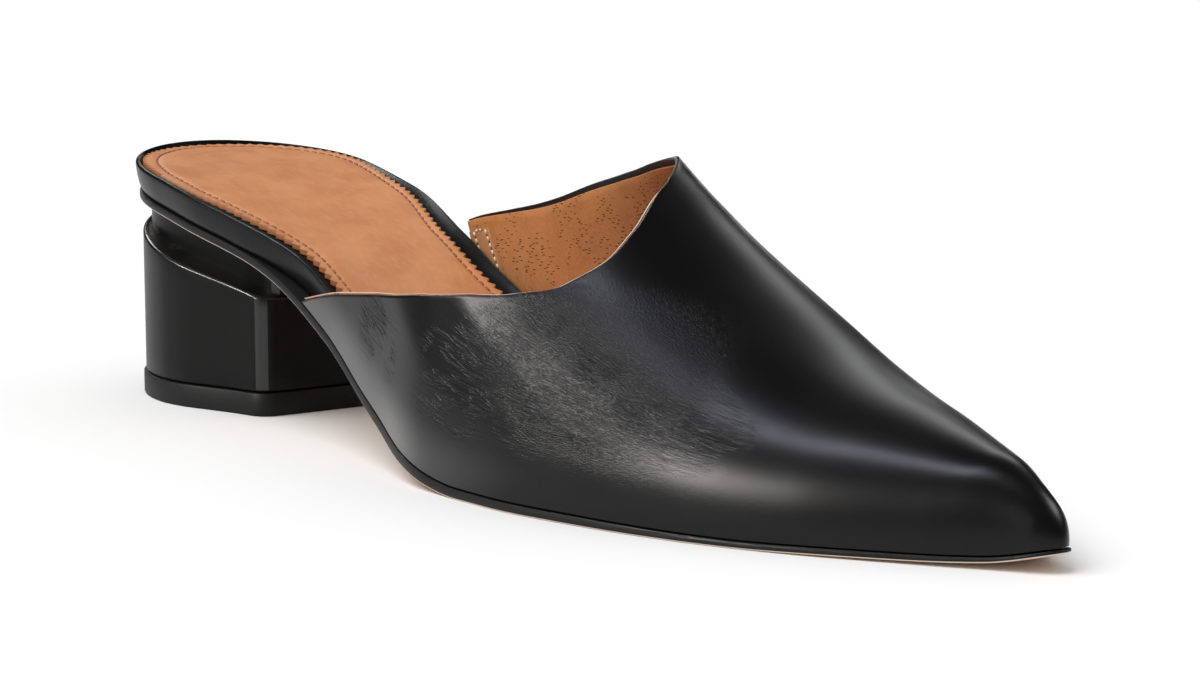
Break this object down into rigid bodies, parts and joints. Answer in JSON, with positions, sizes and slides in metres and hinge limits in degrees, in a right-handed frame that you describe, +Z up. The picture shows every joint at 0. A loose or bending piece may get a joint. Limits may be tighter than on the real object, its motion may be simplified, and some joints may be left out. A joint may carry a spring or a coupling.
{
  "type": "mule shoe",
  "caption": "Pointed, backless leather mule shoe on a low block heel, with a V-cut vamp, a wrapped footbed and a thin outsole; right foot.",
  "frame": {"origin": "middle of the shoe's bounding box, on the floor that it stands on", "axes": "+X towards the toe, +Y towards the inner (medial) side of the right foot, +Z up"},
  "size_m": [0.2572, 0.0744, 0.0582],
  "materials": {
    "sole_leather": "edge-inked black, natural underside",
    "wrap_leather": "semi-gloss",
    "sock_leather": "satin",
    "upper_leather": "semi-gloss",
    "heel_plastic": "smooth satin",
    "toplift_rubber": "matte"
  },
  "bodies": {
    "root": {"outsole": "sole_leather", "footbed": "wrap_leather", "sock": "sock_leather", "upper": "upper_leather", "heel_block": "heel_plastic", "toplift": "toplift_rubber"}
  },
  "joints": []
}
